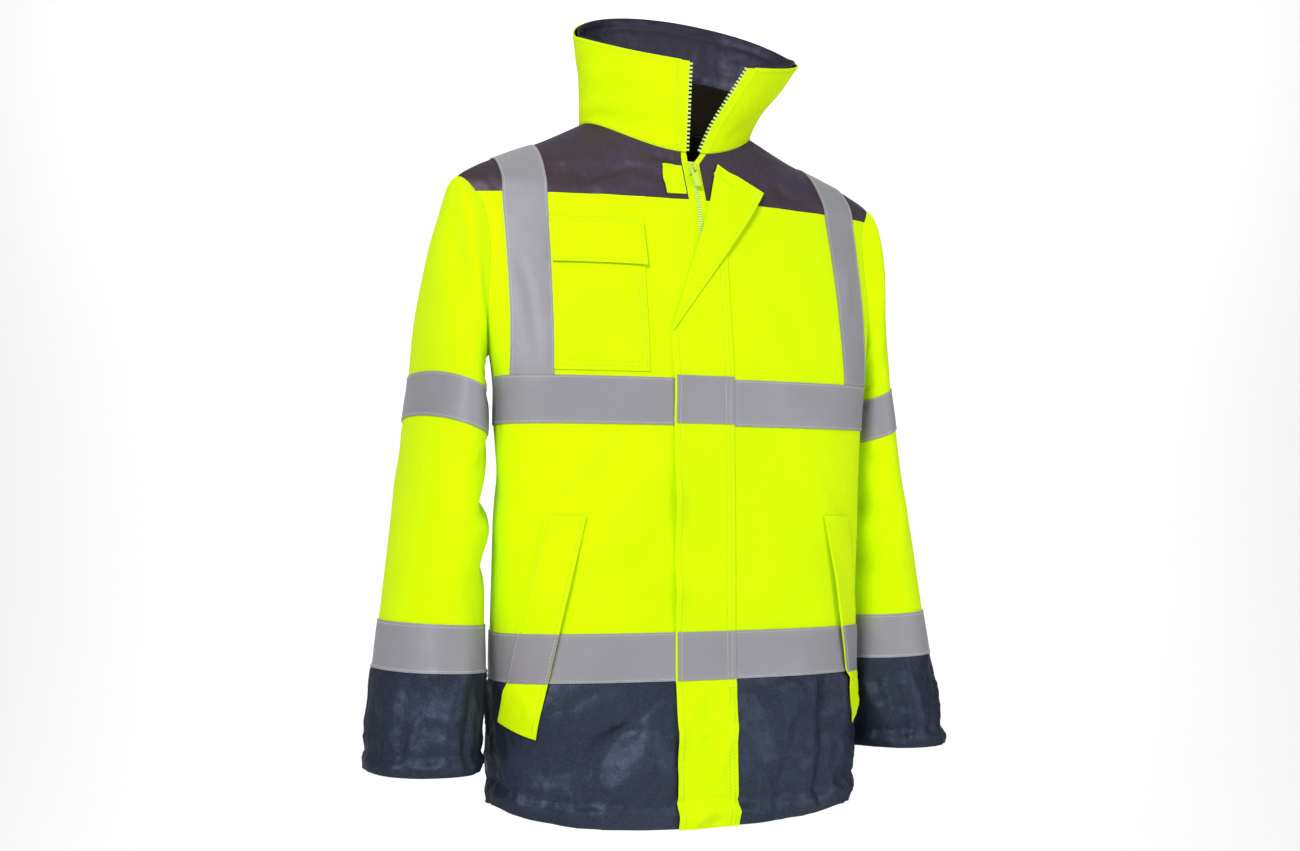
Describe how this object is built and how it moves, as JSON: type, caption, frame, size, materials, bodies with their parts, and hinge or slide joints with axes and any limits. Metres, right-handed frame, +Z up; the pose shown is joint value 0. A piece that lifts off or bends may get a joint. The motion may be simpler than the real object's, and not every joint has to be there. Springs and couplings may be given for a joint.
{
  "type": "hi-vis work jacket",
  "caption": "High-visibility padded work jacket in yellow and navy, filled out and hollow, with reflective bands, braces over the shoulders, a storm flap, a chest pocket and a stand-up collar.",
  "frame": {"origin": "on the body's axis, at the height where the shoulders meet the neck, where the wearer's shoulders carry the jacket", "axes": "+Z up, -Y out of the front, +X towards the wearer's left"},
  "size_m": [0.674, 0.2352, 0.8873],
  "materials": {
    "yellow_cloth": "matte coated fluorescent polyester oxford",
    "navy_cloth": "matte navy polyester oxford with fine weave glints",
    "yoke_cloth": "navy polyester oxford with a soft sheen",
    "reflective_tape": "silver glass-bead reflective tape",
    "collar_padding": "padded navy taffeta",
    "lining": "dark smooth lining",
    "zip_teeth": "moulded yellow plastic teeth",
    "zip_hardware": "painted yellow zip slider and pull"
  },
  "bodies": {
    "jacket": {"brace_left": "reflective_tape", "brace_right": "reflective_tape", "chest_band_back": "reflective_tape", "chest_band_left": "reflective_tape", "chest_band_right": "reflective_tape", "chest_pocket": "yellow_cloth", "chest_pocket_flap": "yellow_cloth", "collar_facing": "lining", "collar_inner": "collar_padding", "collar_outer": "yellow_cloth", "collar_zip_left": "zip_teeth", "collar_zip_right": "zip_teeth", "cuff_left": "navy_cloth", "cuff_right": "navy_cloth", "flap_tape_chest": "reflective_tape", "flap_tape_lower": "reflective_tape", "hem_back": "navy_cloth", "hem_front_left": "navy_cloth", "hem_front_right": "navy_cloth", "hook_tab": "yellow_cloth", "lower_band_back": "reflective_tape", "lower_band_left": "reflective_tape", "lower_band_right": "reflective_tape", "neck_lining": "lining", "panel_back": "yellow_cloth", "panel_front_left": "yellow_cloth", "panel_front_right": "yellow_cloth", "sleeve_band_lower_left": "reflective_tape", "sleeve_band_lower_right": "reflective_tape", "sleeve_band_upper_left": "reflective_tape", "sleeve_band_upper_right": "reflective_tape", "sleeve_left": "yellow_cloth", "sleeve_right": "yellow_cloth", "storm_flap": "yellow_cloth", "welt_left": "yellow_cloth", "welt_right": "yellow_cloth", "welt_tape_left": "reflective_tape", "welt_tape_right": "reflective_tape", "yoke_back": "yoke_cloth", "yoke_front_left": "yoke_cloth", "yoke_front_right": "yoke_cloth", "zip_chain": "zip_teeth", "zip_slider": "zip_hardware", "zip_tape_left": "yellow_cloth", "zip_tape_right": "yellow_cloth"},
    "pull_tab": {"zip_pull": "zip_hardware"}
  },
  "joints": [
    {"name": "pull_tab_swing", "type": "hinge", "parent": "jacket", "child": "pull_tab", "pos_m": [-0.004, -0.06207, -0.05205], "axis": [-1, 0, 0], "range_deg": [0, 150]}
  ]
}
